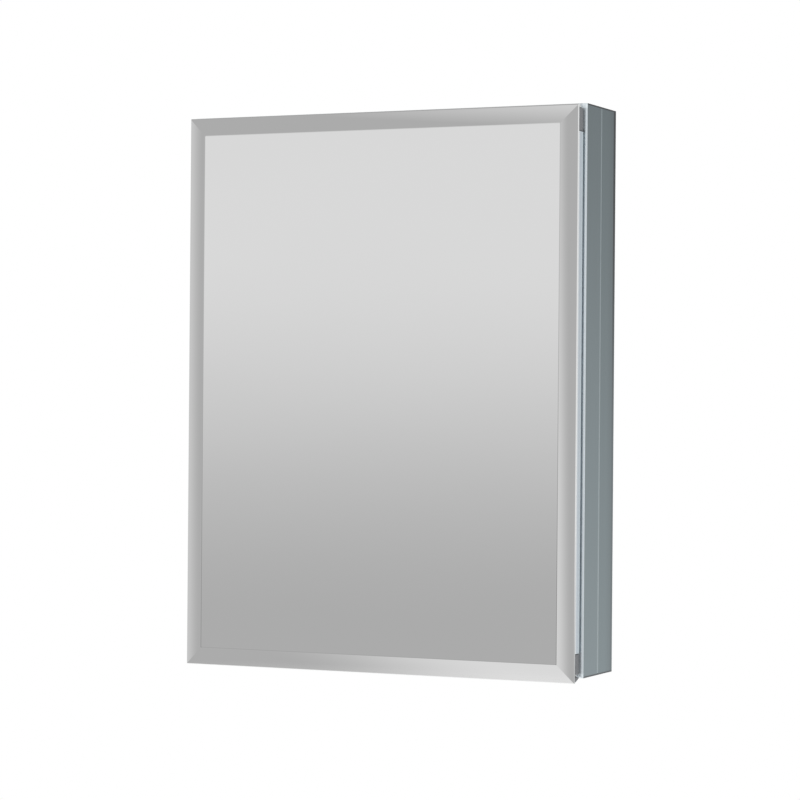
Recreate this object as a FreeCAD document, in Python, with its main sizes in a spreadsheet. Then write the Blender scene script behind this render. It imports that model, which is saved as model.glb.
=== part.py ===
import FreeCAD
import Part
import Sketcher
import math
import os

# Wall medicine cabinet with one bevelled mirror door on pivot hinges, in millimetres.
# The origin is the centre of the back face on the wall; X runs right, Y into the wall, Z up.

os.makedirs("parts", exist_ok=True)
doc = FreeCAD.newDocument("medicine_cabinet")
pieces = []


# Driving sizes
sizes = {
    "body_width": 508,
    "body_height": 658,
    "body_depth": 96,
    "rail_thick": 14,
    "rail_wall": 1.5,
    "nose_radius": 2,
    "groove_width": 2,
    "groove_depth": 0.8,
    "groove_setback": 48.5,
    "web_thick": 3,
    "ledge_width": 9,
    "fit_gap": 0.1,
    "cut_margin": 1,
    "key_leg": 45,
    "key_setback": 2,
    "back_thick": 3,
    "back_edge_gap": 0.3,
    "back_screw_inset": 70,
    "back_screw_radius": 1.5,
    "back_screw_head_radius": 2.8,
    "back_screw_length": 8,
    "back_mirror_thick": 3,
    "back_mirror_margin": 3,
    "wall_hole_radius": 3,
    "wall_hole_inset_x": 36.8,
    "wall_hole_inset_z": 35,
    "mirror_hole_radius": 8,
    "shelf_thick": 5,
    "shelf_spacing": 160,
    "shelf_end_gap": 1,
    "shelf_front_gap": 10,
    "shelf_back_gap": 4,
    "shelf_corner_radius": 8,
    "shelf_edge_radius": 1.2,
    "pin_pitch": 32,
    "pin_inset": 14,
    "pin_hole_radius": 2.5,
    "pin_shank_length": 6.5,
    "pin_collar_radius": 4,
    "pin_collar_thick": 1.5,
    "pin_nose_radius": 3.2,
    "pin_nose_length": 9,
    "pin_seat_rise": 1.8,
    "mirror_side_reveal": 3,
    "mirror_top_drop": 2.5,
    "mirror_overhang": 4.5,
    "glass_thick": 5,
    "rim_thick": 2.2,
    "bevel_width": 20,
    "tape_thick": 1,
    "tape_width": 10,
    "tape_inset": 4,
    "door_gap": 3,
    "frame_inset": 0.3,
    "frame_depth": 13,
    "frame_width": 18,
    "frame_wall": 1.5,
    "block_leg": 28,
    "block_corner_radius": 2,
    "block_swing_radius": 1.2,
    "pull_rise": 5,
    "tenon_length": 20,
    "tenon_root": 2,
    "tenon_liner_gap": 1.4,
    "liner_thick": 3,
    "liner_edge": 12,
    "pivot_inset": 5.5,
    "pivot_radius": 2,
    "pivot_depth": 12,
    "run_gap": 0.05,
    "bush_radius": 3.3,
    "bush_collar_radius": 4.6,
    "bush_collar_thick": 1,
    "collar_gap": 0.2,
    "slot_gap": 0.4,
    "plate_thick": 1.8,
    "plate_length": 25,
    "plate_height": 11,
    "plate_drop": 2.2,
    "bend_radius": 1.6,
    "tongue_radius": 4.5,
    "tongue_root": 3,
    "tongue_spread": 12,
    "plate_screw_inset": 6,
    "plate_screw_spacing": 14,
    "plate_screw_radius": 1.8,
    "plate_screw_head_radius": 3.4,
    "plate_screw_head_height": 0.8,
    "plate_screw_chamfer": 0.5,
    "plate_screw_length": 12,
    "catch_inset": 95,
    "catch_gap": 0.2,
    "cup_radius": 4,
    "cup_flange_radius": 5,
    "cup_chamfer": 0.5,
    "cup_floor": 2.2,
    "magnet_radius": 3,
    "magnet_length": 8,
    "strike_width": 9,
    "strike_height": 30,
    "strike_thick": 1.5,
    "strike_screw_spacing": 20,
    "small_screw_radius": 1.3,
    "small_screw_head_radius": 2.4,
    "small_screw_head_height": 0.8,
    "small_screw_length": 6,
    "bumper_radius": 4,
    "bumper_round": 2,
    "bumper_inset": 62,
    "bumper_gap": 0.3,
}
dims = doc.addObject("Spreadsheet::Sheet", "dims")
for number, (alias, value) in enumerate(sizes.items(), start=1):
    dims.set(f"A{number}", alias)
    dims.set(f"B{number}", str(value))
    dims.setAlias(f"B{number}", alias)
doc.recompute()

# Places that follow from the driving sizes
formulas = {
    "half_width": "dims.body_width / 2",
    "half_height": "dims.body_height / 2",
    "inner_x": "half_width - dims.rail_thick",
    "inner_z": "half_height - dims.rail_thick",
    "front_y": "-dims.body_depth",
    "groove_y": "front_y + dims.groove_setback",
    "face_mid": "(dims.rail_thick + dims.nose_radius) / 2",
    "wall_hole_x": "inner_x - dims.wall_hole_inset_x",
    "wall_hole_z": "inner_z - dims.wall_hole_inset_z",
    "back_screw_x": "inner_x + dims.ledge_width / 2",
    "back_screw_z": "inner_z + dims.ledge_width / 2",
    "shelf_front_y": "front_y + dims.shelf_front_gap",
    "shelf_back_y": "-dims.back_thick - dims.back_mirror_thick - dims.shelf_back_gap",
    "frame_back_y": "front_y - dims.door_gap",
    "frame_front_y": "frame_back_y - dims.frame_depth",
    "glass_back_y": "frame_front_y - dims.tape_thick",
    "mirror_x": "half_width - dims.mirror_side_reveal",
    "plate_top": "half_height - dims.plate_drop",
    "tongue_z": "plate_top - dims.plate_thick",
    "mirror_top_z": "half_height - dims.mirror_top_drop",
    "mirror_low_z": "-half_height - dims.mirror_overhang",
    "frame_x": "mirror_x - dims.frame_inset",
    "seat_z": "tongue_z - dims.collar_gap - dims.bush_collar_thick",
    "frame_top": "seat_z",
    "frame_drop": "-mirror_low_z - dims.frame_inset",
    "tenon_near": "dims.frame_wall + dims.fit_gap",
    "tenon_far": "dims.liner_edge - dims.tenon_liner_gap",
    "tenon_spot": "dims.block_leg + dims.tenon_length / 2",
    "pivot_x": "frame_x - dims.pivot_inset",
    "pivot_y": "(frame_back_y + frame_front_y) / 2",
    "plate_right": "pivot_x - dims.tongue_root",
    "plate_left": "plate_right - dims.plate_length",
    "catch_x": "face_mid - half_width",
    "catch_z": "inner_z - dims.catch_inset",
    "cup_face": "dims.strike_thick + dims.catch_gap - dims.door_gap",
    "magnet_face": "cup_face + dims.fit_gap",
    "magnet_end": "magnet_face + dims.magnet_length",
    "bumper_rise": "dims.door_gap - dims.bumper_gap",
}
places = doc.addObject("Spreadsheet::Sheet", "places")
for number, (alias, formula) in enumerate(formulas.items(), start=1):
    places.set(f"A{number}", alias)
    places.set(f"B{number}", f"={formula}")
    places.setAlias(f"B{number}", alias)
doc.recompute()


# Helpers for sketches and features: geometry starts at a rough size, and expressions set the real one
rough_size = dims.body_depth
same_place = 0.01


def new_body(label):
    body = doc.addObject("PartDesign::Body", label)
    body.Label = label
    return body


def origin_feature(body, role):
    for feature in body.Origin.OriginFeatures:
        if feature.Role == role:
            return feature
    raise ValueError(role)


def new_sketch(body, role, shift):
    sketch = body.newObject("Sketcher::SketchObject", body.Name + "_sketch")
    sketch.AttachmentSupport = (origin_feature(body, role), [""])
    sketch.MapMode = "FlatFace"
    for axis, text in zip("xyz", shift):
        if text != "0":
            sketch.setExpression(f".AttachmentOffset.Base.{axis}", text)
    return sketch


def sketch_xy(body, z="0", x="0", y="0"):
    return new_sketch(body, "XY_Plane", (x, y, z))


def sketch_xz(body, y="0", x="0", z="0"):
    return new_sketch(body, "XZ_Plane", (x, z, f"-({y})"))


def sketch_yz(body, x="0", y="0", z="0"):
    return new_sketch(body, "YZ_Plane", (y, z, x))


def hold(sketch, geometry, vertex, start, texts):
    for kind, value, text in zip(("DistanceX", "DistanceY"), start, texts):
        number = sketch.addConstraint(Sketcher.Constraint(kind, -1, 1, geometry, vertex, value))
        sketch.setExpression(f"Constraints[{number}]", text)


def outline(sketch, points):
    first = sketch.GeometryCount
    count = len(points)
    ring = []
    for step in range(count):
        angle = 2 * math.pi * step / count
        ring.append(FreeCAD.Vector(rough_size * math.cos(angle), rough_size * math.sin(angle), 0))
    for step in range(count):
        sketch.addGeometry(Part.LineSegment(ring[step], ring[(step + 1) % count]))
    for step in range(count):
        following = first + (step + 1) % count
        sketch.addConstraint(Sketcher.Constraint("Coincident", first + step, 2, following, 1))
    for step, texts in enumerate(points):
        hold(sketch, first + step, 1, (ring[step].x, ring[step].y), texts)


def rectangle(sketch, x_low, x_high, y_low, y_high):
    outline(sketch, [(x_low, y_low), (x_high, y_low), (x_high, y_high), (x_low, y_high)])


def circle(sketch, x, y, radius):
    centre = FreeCAD.Vector(rough_size, rough_size, 0)
    number = sketch.addGeometry(Part.Circle(centre, FreeCAD.Vector(0, 0, 1), rough_size))
    hold(sketch, number, 3, (centre.x, centre.y), (x, y))
    bound = sketch.addConstraint(Sketcher.Constraint("Radius", number, rough_size))
    sketch.setExpression(f"Constraints[{bound}]", radius)


def pad(body, sketch, length, both_ways=False, reverse=False):
    feature = body.newObject("PartDesign::Pad", body.Name + "_pad")
    feature.Profile = sketch
    feature.setExpression("Length", length)
    feature.Midplane = both_ways
    feature.Reversed = reverse
    return feature


def cut(body, sketch, length, reverse=False):
    feature = body.newObject("PartDesign::Pocket", body.Name + "_cut")
    feature.Profile = sketch
    feature.setExpression("Length", length)
    feature.Reversed = reverse
    return feature


def turn(body, sketch, axis):
    feature = body.newObject("PartDesign::Revolution", body.Name + "_turning")
    feature.Profile = sketch
    feature.ReferenceAxis = (sketch, [axis])
    feature.Angle = 360
    return feature


def repeat(body, originals, role, length, count):
    feature = body.newObject("PartDesign::LinearPattern", body.Name + "_row")
    feature.Originals = originals
    feature.Direction = (origin_feature(body, role), [""])
    feature.setExpression("Length", length)
    feature.Occurrences = count
    body.Tip = feature


def round_edges(body, base, radius, wanted):
    doc.recompute()
    names = []
    for number, edge in enumerate(base.Shape.Edges, start=1):
        if wanted(edge):
            names.append(f"Edge{number}")
    feature = body.newObject("PartDesign::Fillet", body.Name + "_rounding")
    feature.Base = (base, names)
    feature.setExpression("Radius", radius)
    return feature


def runs_along(edge, axis):
    start = edge.Vertexes[0].Point
    end = edge.Vertexes[-1].Point
    reach = end - start
    straight = edge.Curve.TypeId == "Part::GeomLine"
    return straight and abs(abs(reach[axis]) - reach.Length) < same_place


def mirrored(source, normal):
    copy = doc.addObject("Part::Mirroring", source.Name + "_mirrored")
    copy.Source = source
    copy.Normal = FreeCAD.Vector(*normal)
    return copy


def group(label, members):
    compound = doc.addObject("Part::Compound", label)
    compound.Label = label
    compound.Links = members
    pieces.append(compound)


def four_corners(label, source):
    across = mirrored(source, (1, 0, 0))
    below = mirrored(source, (0, 0, 1))
    opposite = mirrored(across, (0, 0, 1))
    group(label, [source, across, below, opposite])


def signed(sign, text):
    return f"{sign} * ({text})"


# Case rails: one hollow profile with two chambers, a groove line, a rounded front lip and a rear ledge
front_chamber = ("places.front_y + dims.rail_wall", "places.groove_y - dims.web_thick / 2")
rear_chamber = ("places.groove_y + dims.web_thick / 2", "-dims.back_thick - dims.rail_wall")


def rail_profile(sketch, sign, upright):
    edge = "places.half_width" if upright else "places.half_height"

    def place(inward, y):
        across = signed(sign, f"{edge} - ({inward})")
        return (across, y) if upright else (y, across)

    groove_rear = "places.groove_y + dims.groove_width / 2"
    groove_fore = "places.groove_y - dims.groove_width / 2"
    outline(sketch, [
        place("0", "0"),
        place("0", groove_rear),
        place("dims.groove_depth", "places.groove_y"),
        place("0", groove_fore),
        place("0", "places.front_y"),
        place("dims.rail_thick", "places.front_y"),
        place("dims.rail_thick", "-dims.back_thick"),
        place("dims.rail_thick - dims.ledge_width", "-dims.back_thick"),
        place("dims.rail_thick - dims.ledge_width", "0"),
    ])
    for fore, rear in (front_chamber, rear_chamber):
        outline(sketch, [
            place("dims.rail_wall", fore),
            place("dims.rail_thick - dims.rail_wall", fore),
            place("dims.rail_thick - dims.rail_wall", rear),
            place("dims.rail_wall", rear),
        ])


def mitre_ends(body, sign, upright):
    sketch = sketch_xz(body, y="dims.cut_margin")
    inside_x = "places.inner_x - dims.cut_margin"
    inside_z = "places.inner_z - dims.cut_margin"
    outside_x = "places.half_width + dims.cut_margin"
    outside_z = "places.half_height + dims.cut_margin"
    for end in (1, -1):
        across = sign if upright else end
        height = end if upright else sign
        third = (inside_x, outside_z) if upright else (outside_x, inside_z)
        outline(sketch, [
            (signed(across, inside_x), signed(height, inside_z)),
            (signed(across, outside_x), signed(height, outside_z)),
            (signed(across, third[0]), signed(height, third[1])),
        ])
    cut(body, sketch, "dims.body_depth + 2 * dims.cut_margin", reverse=True)


def ledge_holes(body, sign, upright):
    sketch = sketch_xz(body, y="dims.cut_margin")
    for step in (1, -1):
        if upright:
            x = signed(sign, "places.back_screw_x")
            z = signed(step, "places.inner_z - dims.back_screw_inset")
        else:
            x = signed(step, "places.inner_x - dims.back_screw_inset")
            z = signed(sign, "places.back_screw_z")
        circle(sketch, x, z, "dims.back_screw_radius + dims.fit_gap")
    cut(body, sketch, "dims.cut_margin + dims.back_thick + dims.rail_wall + dims.cut_margin", reverse=True)


def case_rail(label, sign, upright):
    body = new_body(label)
    sketch = sketch_xy(body) if upright else sketch_yz(body)
    rail_profile(sketch, sign, upright)
    length = "dims.body_height" if upright else "dims.body_width"
    bar = pad(body, sketch, length, both_ways=True)
    axis = 2 if upright else 0
    edge = places.half_width if upright else places.half_height

    def outer_lip(line):
        middle = line.CenterOfMass
        outward = abs(middle.x) if upright else abs(middle.z)
        on_lip = abs(outward - edge) < same_place and abs(middle.y - places.front_y) < same_place
        return runs_along(line, axis) and on_lip

    round_edges(body, bar, "dims.nose_radius", outer_lip)
    mitre_ends(body, sign, upright)
    ledge_holes(body, sign, upright)
    pieces.append(body)
    return body


def shelf_pin_holes(body, sign):
    sketch = sketch_yz(body)
    for y in ("places.shelf_front_y + dims.pin_inset", "places.shelf_back_y - dims.pin_inset"):
        for step in (-1, 0, 1):
            circle(sketch, y, f"{step} * dims.pin_pitch - dims.shelf_spacing", "dims.pin_hole_radius")
    holes = cut(body, sketch, "places.inner_x + dims.rail_wall + dims.cut_margin", reverse=sign > 0)
    repeat(body, [holes], "Z_Axis", "2 * dims.shelf_spacing", 3)


def catch_holes(body):
    sketch = sketch_xz(body, y="places.front_y - dims.cut_margin")
    for sign in (1, -1):
        circle(sketch, "places.catch_x", signed(sign, "places.catch_z"), "dims.cup_radius + dims.fit_gap")
    cut(body, sketch, "dims.cut_margin + dims.rail_wall + dims.cut_margin")


def plate_screw_x(step):
    return f"places.plate_left + dims.plate_screw_inset + {step} * dims.plate_screw_spacing"


def plate_screw_holes(body, sign):
    sketch = sketch_xz(body, y="places.front_y - dims.cut_margin")
    for step in (0, 1):
        height = signed(sign, "places.half_height - places.face_mid")
        circle(sketch, plate_screw_x(step), height, "dims.plate_screw_radius + dims.fit_gap")
    cut(body, sketch, "dims.cut_margin + dims.rail_wall + dims.cut_margin")


side_rail_left = case_rail("side_rail_left", -1, True)
shelf_pin_holes(side_rail_left, -1)
catch_holes(side_rail_left)
side_rail_right = case_rail("side_rail_right", 1, True)
shelf_pin_holes(side_rail_right, 1)
top_rail = case_rail("top_rail", 1, False)
plate_screw_holes(top_rail, 1)
bottom_rail = case_rail("bottom_rail", -1, False)
plate_screw_holes(bottom_rail, -1)


# Corner keys: angle pieces that sit in the chambers and draw each mitre together
def corner_key(label, chamber_fore, chamber_rear, drilled):
    body = new_body(label + "_one")
    sketch = sketch_xz(body, y=f"{chamber_rear} - dims.key_setback")
    outer_x = "places.half_width - dims.rail_wall - dims.fit_gap"
    outer_z = "places.half_height - dims.rail_wall - dims.fit_gap"
    inner_x = "places.inner_x + dims.rail_wall + dims.fit_gap"
    inner_z = "places.inner_z + dims.rail_wall + dims.fit_gap"
    outline(sketch, [
        (outer_x, outer_z),
        (f"{outer_x} - dims.key_leg", outer_z),
        (f"{outer_x} - dims.key_leg", inner_z),
        (inner_x, inner_z),
        (inner_x, f"{outer_z} - dims.key_leg"),
        (outer_x, f"{outer_z} - dims.key_leg"),
    ])
    pad(body, sketch, f"({chamber_rear}) - ({chamber_fore}) - 2 * dims.key_setback")
    if drilled:
        holes = sketch_xz(body, y=chamber_fore)
        for step in (0, 1):
            height = "places.half_height - places.face_mid"
            circle(holes, plate_screw_x(step), height, "dims.plate_screw_radius + dims.run_gap")
        cut(body, holes, "dims.plate_screw_length")
    four_corners(label, body)


corner_key("front_corner_keys", *front_chamber, True)
corner_key("rear_corner_keys", *rear_chamber, False)


# Back panel: flat sheet in the rear ledge, flush with the wall face, drilled for the wall screws
def wall_holes(body, y_rear, thickness, radius):
    sketch = sketch_xz(body, y=f"{y_rear} + dims.cut_margin")
    for across in (1, -1):
        for up in (1, -1):
            circle(sketch, signed(across, "places.wall_hole_x"), signed(up, "places.wall_hole_z"), radius)
    cut(body, sketch, f"{thickness} + 2 * dims.cut_margin", reverse=True)


def back_screw_places():
    spots = []
    for sign in (1, -1):
        for step in (1, -1):
            along_x = signed(step, "places.inner_x - dims.back_screw_inset")
            along_z = signed(step, "places.inner_z - dims.back_screw_inset")
            spots.append((signed(sign, "places.back_screw_x"), along_z))
            spots.append((along_x, signed(sign, "places.back_screw_z")))
    return spots


back_panel = new_body("back_panel")
panel_x = "places.inner_x + dims.ledge_width - dims.back_edge_gap"
panel_z = "places.inner_z + dims.ledge_width - dims.back_edge_gap"
panel_sketch = sketch_xz(back_panel)
rectangle(panel_sketch, f"-({panel_x})", panel_x, f"-({panel_z})", panel_z)
pad(back_panel, panel_sketch, "dims.back_thick")
wall_holes(back_panel, "0", "dims.back_thick", "dims.wall_hole_radius")
shank_holes = sketch_xz(back_panel, y="dims.cut_margin")
head_holes = sketch_xz(back_panel, y="dims.cut_margin")
for spot_x, spot_z in back_screw_places():
    circle(shank_holes, spot_x, spot_z, "dims.back_screw_radius + dims.fit_gap")
    circle(head_holes, spot_x, spot_z, "dims.back_screw_head_radius + dims.fit_gap")
cut(back_panel, shank_holes, "dims.back_thick + 2 * dims.cut_margin", reverse=True)
cut(back_panel, head_holes, "dims.cut_margin + dims.back_thick / 2", reverse=True)
pieces.append(back_panel)


# Back panel screws: flat heads sunk below the wall face, shanks through the ledge into the chamber
def back_screw(label, x, z):
    body = new_body(label)
    sketch = sketch_xy(body, z=z, x=x)
    seat = "-dims.back_thick / 2"
    face = "-dims.fit_gap"
    outline(sketch, [
        ("0", face),
        ("dims.back_screw_head_radius", face),
        ("dims.back_screw_head_radius", seat),
        ("dims.back_screw_radius", seat),
        ("dims.back_screw_radius", "dims.back_screw_radius - dims.back_screw_length"),
        ("0", "-dims.back_screw_length"),
    ])
    turn(body, sketch, "V_Axis")
    return body


upper_screw = back_screw("upper_back_screw", "places.inner_x - dims.back_screw_inset", "places.back_screw_z")
side_screw = back_screw("side_back_screw", "places.back_screw_x", "places.inner_z - dims.back_screw_inset")
back_screw_pair = doc.addObject("Part::Compound", "back_screw_pair")
back_screw_pair.Links = [upper_screw, side_screw]
four_corners("back_panel_screws", back_screw_pair)

# Back mirror: thin mirror bonded to the panel, with clearance holes round the wall screws
back_mirror = new_body("back_mirror")
back_mirror_x = "places.inner_x - dims.back_mirror_margin"
back_mirror_z = "places.inner_z - dims.back_mirror_margin"
back_mirror_sketch = sketch_xz(back_mirror, y="-dims.back_thick")
rectangle(back_mirror_sketch, f"-({back_mirror_x})", back_mirror_x, f"-({back_mirror_z})", back_mirror_z)
pad(back_mirror, back_mirror_sketch, "dims.back_mirror_thick")
wall_holes(back_mirror, "-dims.back_thick", "dims.back_mirror_thick", "dims.mirror_hole_radius")
pieces.append(back_mirror)


# Shelves: glass with rounded front corners and polished edges, resting on the seats of the pins
def shelf(label, step):
    body = new_body(label)
    sketch = sketch_xy(body, z=f"{step} * dims.shelf_spacing + dims.pin_seat_rise")
    end = "places.inner_x - dims.pin_collar_thick - dims.shelf_end_gap"
    rectangle(sketch, f"-({end})", end, "places.shelf_front_y", "places.shelf_back_y")
    plate = pad(body, sketch, "dims.shelf_thick")

    def front_corner(edge):
        return runs_along(edge, 2) and abs(edge.CenterOfMass.y - places.shelf_front_y) < same_place

    corners = round_edges(body, plate, "dims.shelf_corner_radius", front_corner)

    def front_edge(edge):
        return runs_along(edge, 0) and abs(edge.CenterOfMass.y - places.shelf_front_y) < same_place

    round_edges(body, corners, "dims.shelf_edge_radius", front_edge)
    pieces.append(body)


shelf("shelf_lower", -1)
shelf("shelf_middle", 0)
shelf("shelf_upper", 1)

# Shelf pins: turned pins with a collar against the rail and a flat seat under the glass
pins = new_body("right_shelf_pins")
pin_y = "places.shelf_back_y - dims.pin_inset"
pin_sketch = sketch_xy(pins, z="-dims.shelf_spacing", x="places.inner_x", y=pin_y)
nose_end = "-dims.pin_collar_thick - dims.pin_nose_length"
outline(pin_sketch, [
    ("dims.pin_shank_length", "0"),
    ("dims.pin_shank_length", "dims.pin_hole_radius - dims.fit_gap"),
    ("0", "dims.pin_hole_radius - dims.fit_gap"),
    ("0", "dims.pin_collar_radius"),
    ("-dims.pin_collar_thick", "dims.pin_collar_radius"),
    ("-dims.pin_collar_thick", "dims.pin_nose_radius"),
    (nose_end, "dims.pin_nose_radius"),
    (nose_end, "0"),
])
pin_turning = turn(pins, pin_sketch, "H_Axis")
seat_sketch = sketch_xy(pins, z="dims.pin_seat_rise - dims.shelf_spacing", x="places.inner_x", y=pin_y)
rectangle(seat_sketch, f"{nose_end} - dims.cut_margin", "-dims.pin_collar_thick",
          "-dims.pin_nose_radius - dims.cut_margin", "dims.pin_nose_radius + dims.cut_margin")
seat_cut = cut(pins, seat_sketch, "dims.pin_nose_radius", reverse=True)
pin_grid = pins.newObject("PartDesign::MultiTransform", "shelf_pin_grid")
pin_grid.Originals = [pin_turning, seat_cut]
columns = pins.newObject("PartDesign::LinearPattern", "shelf_pin_columns")
columns.Direction = (origin_feature(pins, "Y_Axis"), [""])
columns.setExpression("Length", "places.shelf_back_y - places.shelf_front_y - 2 * dims.pin_inset")
columns.Occurrences = 2
columns.Reversed = True
levels = pins.newObject("PartDesign::LinearPattern", "shelf_pin_levels")
levels.Direction = (origin_feature(pins, "Z_Axis"), [""])
levels.setExpression("Length", "2 * dims.shelf_spacing")
levels.Occurrences = 3
pin_grid.Transformations = [columns, levels]
pins.Tip = pin_grid
group("shelf_pins", [pins, mirrored(pins, (1, 0, 0))])


# Pivot plates: bent steel, one leg screwed on the case front, a tongue over the door carrying the pin
def pivot_plate(label, sign):
    body = new_body(label)
    leg_sketch = sketch_xz(body, y="places.front_y")
    low = signed(sign, "places.plate_top - dims.plate_height")
    rectangle(leg_sketch, "places.plate_left", "places.plate_right", low, signed(sign, "places.plate_top"))
    pad(body, leg_sketch, "dims.plate_thick")
    tongue = sketch_xy(body, z=signed(sign, "places.plate_top"))
    centre = FreeCAD.Vector(places.pivot_x, places.pivot_y, 0)
    radius = dims.tongue_radius
    nose = tongue.addGeometry(Part.ArcOfCircle(
        Part.Circle(centre, FreeCAD.Vector(0, 0, 1), radius), math.pi, 2 * math.pi))
    root_left = FreeCAD.Vector(places.pivot_x - dims.tongue_spread, places.front_y, 0)
    root_right = FreeCAD.Vector(places.plate_right, places.front_y, 0)
    nose_left = centre - FreeCAD.Vector(radius, 0, 0)
    nose_right = centre + FreeCAD.Vector(radius, 0, 0)
    first = tongue.addGeometry(Part.LineSegment(nose_right, root_right))
    second = tongue.addGeometry(Part.LineSegment(root_right, root_left))
    third = tongue.addGeometry(Part.LineSegment(root_left, nose_left))
    for one, other in (((nose, 2), (first, 1)), ((first, 2), (second, 1)), ((second, 2), (third, 1)),
                       ((third, 2), (nose, 1))):
        tongue.addConstraint(Sketcher.Constraint("Coincident", *one, *other))
    hold(tongue, nose, 3, (centre.x, centre.y), ("places.pivot_x", "places.pivot_y"))
    hold(tongue, nose, 1, (nose_left.x, nose_left.y),
         ("places.pivot_x - dims.tongue_radius", "places.pivot_y"))
    level = tongue.addConstraint(Sketcher.Constraint("DistanceY", -1, 1, nose, 2, nose_right.y))
    tongue.setExpression(f"Constraints[{level}]", "places.pivot_y")
    hold(tongue, second, 1, (root_right.x, root_right.y), ("places.plate_right", "places.front_y"))
    hold(tongue, second, 2, (root_left.x, root_left.y),
         ("places.pivot_x - dims.tongue_spread", "places.front_y"))
    pad(body, tongue, "dims.plate_thick", reverse=sign > 0)
    pin_hole = sketch_xy(body, z=signed(sign, "places.plate_top + dims.cut_margin"))
    circle(pin_hole, "places.pivot_x", "places.pivot_y", "dims.pivot_radius + dims.run_gap")
    cut(body, pin_hole, "dims.plate_thick + 2 * dims.cut_margin", reverse=sign < 0)
    screw_holes = sketch_xz(body, y="places.front_y + dims.cut_margin")
    for step in (0, 1):
        height = signed(sign, "places.half_height - places.face_mid")
        circle(screw_holes, plate_screw_x(step), height, "dims.plate_screw_radius + dims.fit_gap")
    drilled = cut(body, screw_holes, "dims.plate_thick + 2 * dims.cut_margin", reverse=True)

    def bend(edge):
        middle = edge.CenterOfMass
        at_top = abs(abs(middle.z) - places.plate_top) < same_place
        return runs_along(edge, 0) and at_top and abs(middle.y - places.front_y) < same_place

    round_edges(body, drilled, "dims.bend_radius", bend)
    pieces.append(body)


pivot_plate("pivot_plate_top", 1)
pivot_plate("pivot_plate_bottom", -1)


# Pivot pins: plain steel pins, riveted flush in the tongues, running in the bushes of the door
def pivot_pin(label, sign):
    body = new_body(label)
    sketch = sketch_xz(body, y="places.pivot_y", x="places.pivot_x")
    tip = "places.seat_z - dims.pivot_depth + dims.pivot_radius / 2"
    outline(sketch, [
        ("0", signed(sign, "places.plate_top")),
        ("dims.pivot_radius", signed(sign, "places.plate_top")),
        ("dims.pivot_radius", signed(sign, f"{tip} + dims.pivot_radius / 2")),
        ("dims.pivot_radius / 2", signed(sign, tip)),
        ("0", signed(sign, tip)),
    ])
    turn(body, sketch, "V_Axis")
    pieces.append(body)


pivot_pin("pivot_pin_top", 1)
pivot_pin("pivot_pin_bottom", -1)

# Plate screws: pan heads, two in each plate, threaded into the front corner keys
plate_screws = new_body("upper_plate_screws")
plate_screw_sketch = sketch_xy(plate_screws, z="places.half_height - places.face_mid",
                               x=plate_screw_x(0), y="places.front_y - dims.plate_thick")
outline(plate_screw_sketch, [
    ("0", "-dims.plate_screw_head_height"),
    ("dims.plate_screw_head_radius - dims.plate_screw_chamfer", "-dims.plate_screw_head_height"),
    ("dims.plate_screw_head_radius", "dims.plate_screw_chamfer - dims.plate_screw_head_height"),
    ("dims.plate_screw_head_radius", "0"),
    ("dims.plate_screw_radius", "0"),
    ("dims.plate_screw_radius", "dims.plate_screw_length - dims.plate_screw_radius"),
    ("0", "dims.plate_screw_length"),
])
turn(plate_screws, plate_screw_sketch, "V_Axis")
repeat(plate_screws, [plate_screws.Tip], "X_Axis", "dims.plate_screw_spacing", 2)
group("pivot_plate_screws", [plate_screws, mirrored(plate_screws, (0, 0, 1))])

# Catch cups and magnets: flanged cups pressed in the left rail's front, each holding a round magnet
cup = new_body("upper_catch_cup")
cup_sketch = sketch_xy(cup, z="places.catch_z", x="places.catch_x", y="places.front_y")
outline(cup_sketch, [
    ("dims.magnet_radius + dims.run_gap", "places.cup_face"),
    ("dims.cup_flange_radius - dims.cup_chamfer", "places.cup_face"),
    ("dims.cup_flange_radius", "places.cup_face + dims.cup_chamfer"),
    ("dims.cup_flange_radius", "0"),
    ("dims.cup_radius", "0"),
    ("dims.cup_radius", "places.magnet_end + dims.cup_floor"),
    ("0", "places.magnet_end + dims.cup_floor"),
    ("0", "places.magnet_end"),
    ("dims.magnet_radius + dims.run_gap", "places.magnet_end"),
])
turn(cup, cup_sketch, "V_Axis")
group("catch_cups", [cup, mirrored(cup, (0, 0, 1))])
magnet = new_body("upper_catch_magnet")
magnet_sketch = sketch_xy(magnet, z="places.catch_z", x="places.catch_x", y="places.front_y")
rectangle(magnet_sketch, "0", "dims.magnet_radius", "places.magnet_face", "places.magnet_end")
turn(magnet, magnet_sketch, "V_Axis")
group("catch_magnets", [magnet, mirrored(magnet, (0, 0, 1))])

# Door bumpers: soft domes on the case front that the closed door rests against
bumper = new_body("upper_right_bumper")
bumper_foot = sketch_xz(bumper, y="places.front_y")
circle(bumper_foot, "places.half_width - dims.bumper_inset", "places.half_height - places.face_mid",
       "dims.bumper_radius")
bumper_stem = pad(bumper, bumper_foot, "places.bumper_rise")


def bumper_rim(edge):
    return abs(edge.CenterOfMass.y - places.front_y + places.bumper_rise) < same_place


round_edges(bumper, bumper_stem, "dims.bumper_round", bumper_rim)
four_corners("door_bumpers", bumper)

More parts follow.
